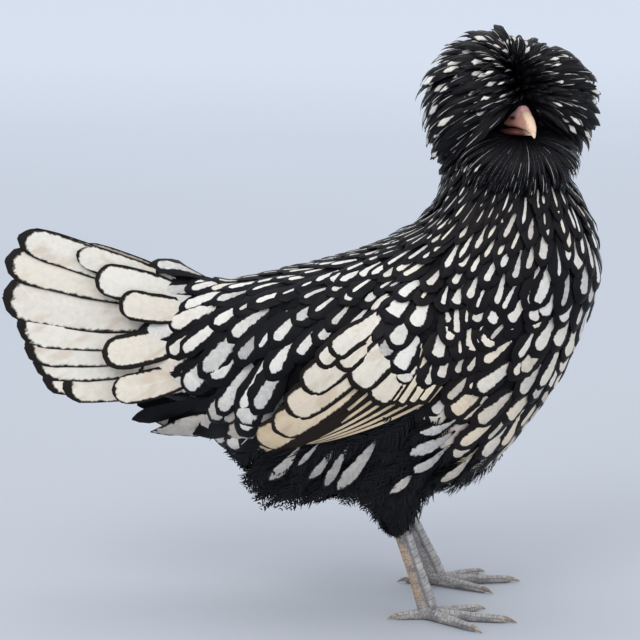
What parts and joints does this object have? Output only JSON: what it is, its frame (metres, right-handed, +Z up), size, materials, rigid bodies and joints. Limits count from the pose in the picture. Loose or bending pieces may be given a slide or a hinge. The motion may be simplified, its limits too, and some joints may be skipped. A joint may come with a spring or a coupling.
{
  "type": "crested chicken",
  "caption": "Life-size standing hen with a globe crest, beard, laced plumage, fanned tail and bare scaled shanks, head turned aside.",
  "frame": {"origin": "on the floor, under the middle of the model's box", "axes": "+X the way the hen stands and faces with its breast, +Y to its left, +Z up; its head is turned to its right, towards -Y"},
  "size_m": [0.3852, 0.1552, 0.3812],
  "materials": {
    "laced_plumage": "white feathers with black edges",
    "black_plumage": "black feathers",
    "bill_horn": "pinkish horn",
    "leg_scales": "slate grey scales",
    "eye": "wet and glossy"
  },
  "bodies": {
    "root": {"torso": "laced_plumage", "neck": "laced_plumage", "head": "black_plumage", "beak_upper": "bill_horn", "beak_lower": "bill_horn", "eye_right": "eye", "eye_left": "eye", "crest": "black_plumage", "beard": "black_plumage", "wing_right": "laced_plumage", "wing_left": "laced_plumage", "tail": "laced_plumage", "thigh_right": "black_plumage", "thigh_left": "black_plumage", "leg_right": "leg_scales", "leg_left": "leg_scales"}
  },
  "joints": []
}
